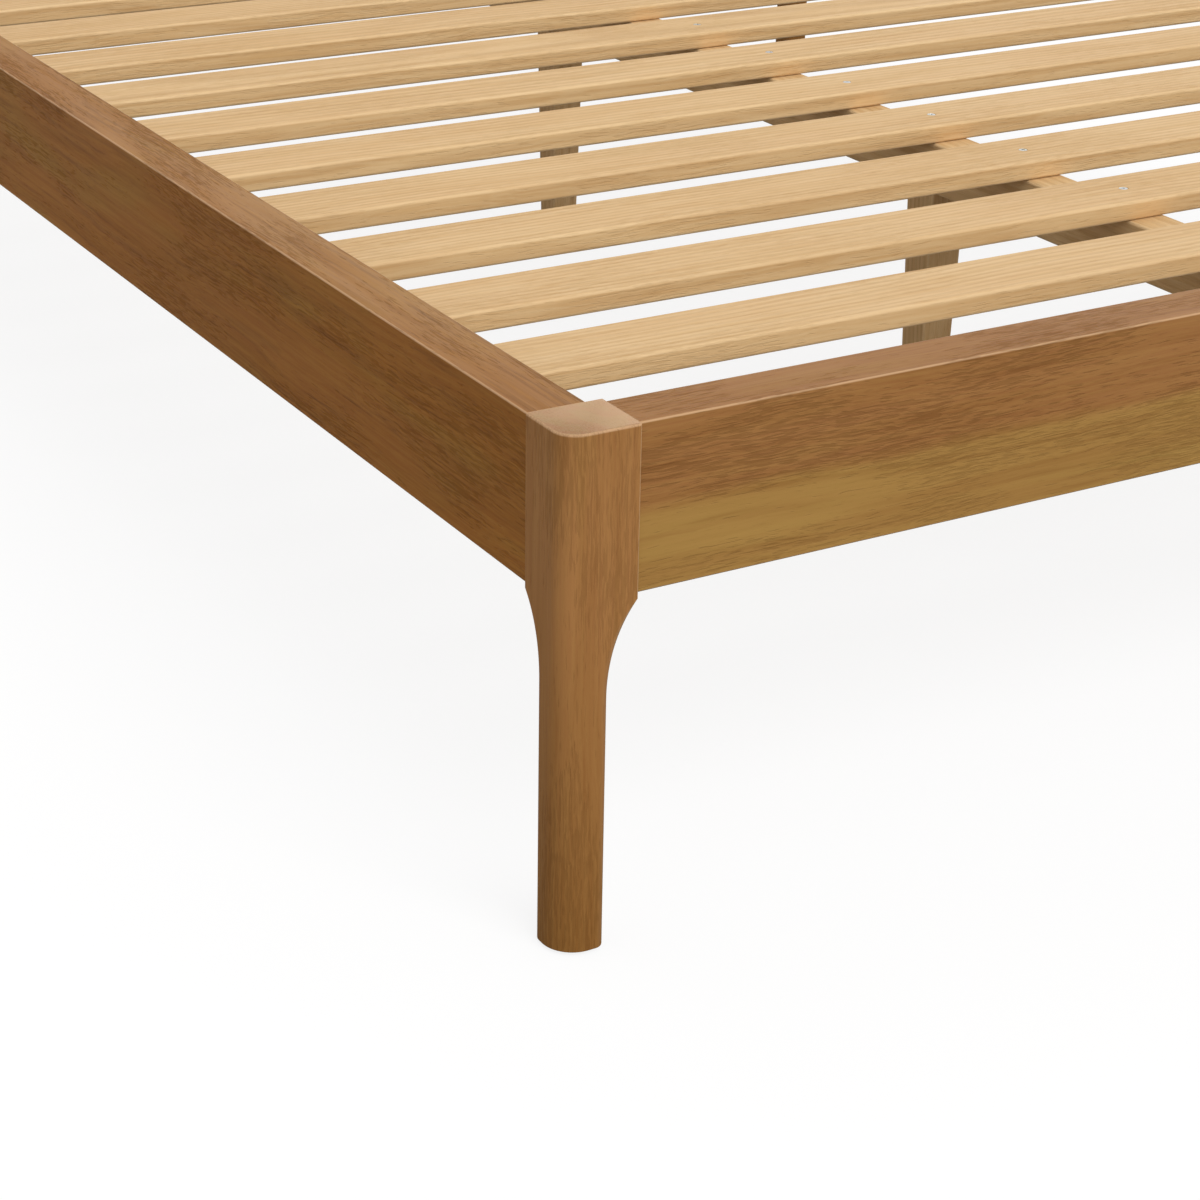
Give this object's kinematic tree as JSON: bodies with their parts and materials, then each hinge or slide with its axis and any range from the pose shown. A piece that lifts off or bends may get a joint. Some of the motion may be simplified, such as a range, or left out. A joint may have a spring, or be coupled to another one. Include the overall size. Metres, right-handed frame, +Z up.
{
  "type": "bed frame",
  "caption": "Low wooden bed frame: flat-topped rails between corner posts that flare from slim rounded legs, a slatted base on a centre beam, and an arched spindle headboard.",
  "frame": {"origin": "on the floor, at the middle of the bed frame's plan", "axes": "+Z up, +Y from the foot to the head, +X to the right as seen from the foot"},
  "size_m": [1.633, 2.137, 0.963],
  "materials": {
    "post_wood": "satin oiled",
    "rail_wood": "satin oiled",
    "headboard_wood": "satin oiled",
    "base_wood": "planed, bare",
    "slat_wood": "planed, bare",
    "zinc_steel": "zinc plated",
    "black_steel": "black powder coat",
    "glide_nylon": "matte",
    "leveller_foot": "matte"
  },
  "bodies": {
    "bed_frame": {"beam_hanger_foot": "black_steel", "beam_hanger_head": "black_steel", "centre_beam": "base_wood", "centre_leg_bolt_foot": "zinc_steel", "centre_leg_bolt_head": "zinc_steel", "centre_leg_foot": "base_wood", "centre_leg_head": "base_wood", "crest_rail": "headboard_wood", "foot_post_left": "post_wood", "foot_post_right": "post_wood", "foot_rail": "rail_wood", "glide_foot_left": "glide_nylon", "glide_foot_right": "glide_nylon", "glide_head_left": "glide_nylon", "glide_head_right": "glide_nylon", "head_post_left": "post_wood", "head_post_right": "post_wood", "head_rail": "rail_wood", "rail_bolt_foot_left_lower": "zinc_steel", "rail_bolt_foot_left_upper": "zinc_steel", "rail_bolt_foot_right_lower": "zinc_steel", "rail_bolt_foot_right_upper": "zinc_steel", "rail_bolt_head_left_lower": "zinc_steel", "rail_bolt_head_left_upper": "zinc_steel", "rail_bolt_head_right_lower": "zinc_steel", "rail_bolt_head_right_upper": "zinc_steel", "side_rail_left": "rail_wood", "side_rail_right": "rail_wood", "slat_01": "slat_wood", "slat_02": "slat_wood", "slat_03": "slat_wood", "slat_04": "slat_wood", "slat_05": "slat_wood", "slat_06": "slat_wood", "slat_07": "slat_wood", "slat_08": "slat_wood", "slat_09": "slat_wood", "slat_10": "slat_wood", "slat_11": "slat_wood", "slat_12": "slat_wood", "slat_13": "slat_wood", "slat_14": "slat_wood", "slat_ledge_left": "base_wood", "slat_ledge_right": "base_wood", "spindle_01": "headboard_wood", "spindle_02": "headboard_wood", "spindle_03": "headboard_wood", "spindle_04": "headboard_wood", "spindle_05": "headboard_wood", "spindle_06": "headboard_wood", "spindle_07": "headboard_wood", "spindle_08": "headboard_wood", "spindle_09": "headboard_wood", "spindle_10": "headboard_wood", "spindle_11": "headboard_wood"},
    "leveller_foot_end": {"leveller_foot": "leveller_foot"},
    "leveller_head_end": {"leveller_head": "leveller_foot"}
  },
  "joints": [
    {"name": "leveller_foot_screw", "type": "slide", "parent": "bed_frame", "child": "leveller_foot_end", "axis": [0, 0, -1], "range_m": [-0.004, 0.012]},
    {"name": "leveller_head_screw", "type": "slide", "parent": "bed_frame", "child": "leveller_head_end", "axis": [0, 0, -1], "range_m": [-0.004, 0.012]}
  ]
}
